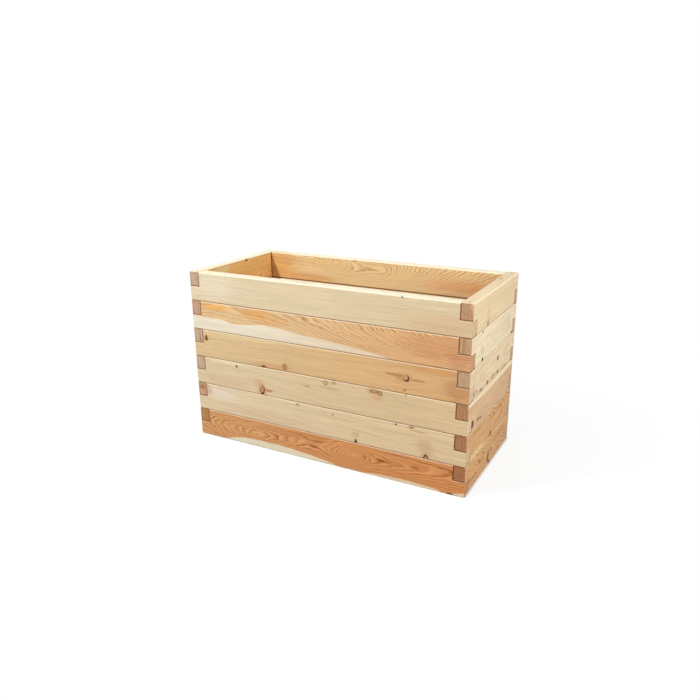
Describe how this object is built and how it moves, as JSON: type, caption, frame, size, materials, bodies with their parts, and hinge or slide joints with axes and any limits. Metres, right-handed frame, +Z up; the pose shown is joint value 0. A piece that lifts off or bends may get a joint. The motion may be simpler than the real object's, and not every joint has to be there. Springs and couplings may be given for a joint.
{
  "type": "raised garden bed",
  "caption": "Open rectangular planter of stacked solid timber boards, half-lapped at the corners and held by a steel pin down each corner, for soil and plants.",
  "frame": {"origin": "middle of the footprint, on the ground", "axes": "+Z up, +X along the front from left to right, +Y from front to back"},
  "size_m": [1, 0.47, 0.6],
  "materials": {
    "timber_pale": "planed, unfinished sapwood",
    "timber_golden": "planed, unfinished, mixed sapwood and heartwood",
    "timber_russet": "planed, unfinished heartwood",
    "pin_steel": "plain drawn bar"
  },
  "bodies": {
    "root": {"back_board_1": "timber_golden", "back_board_2": "timber_russet", "back_board_3": "timber_pale", "back_board_4": "timber_golden", "back_board_5": "timber_pale", "back_board_6": "timber_russet", "corner_pin_back_left": "pin_steel", "corner_pin_back_right": "pin_steel", "corner_pin_front_left": "pin_steel", "corner_pin_front_right": "pin_steel", "front_board_1": "timber_russet", "front_board_2": "timber_pale", "front_board_3": "timber_pale", "front_board_4": "timber_golden", "front_board_5": "timber_golden", "front_board_6": "timber_pale", "left_board_1": "timber_pale", "left_board_2": "timber_russet", "left_board_3": "timber_pale", "left_board_4": "timber_golden", "left_board_5": "timber_pale", "left_board_6": "timber_russet", "right_board_1": "timber_golden", "right_board_2": "timber_golden", "right_board_3": "timber_golden", "right_board_4": "timber_pale", "right_board_5": "timber_pale", "right_board_6": "timber_pale"}
  },
  "joints": []
}
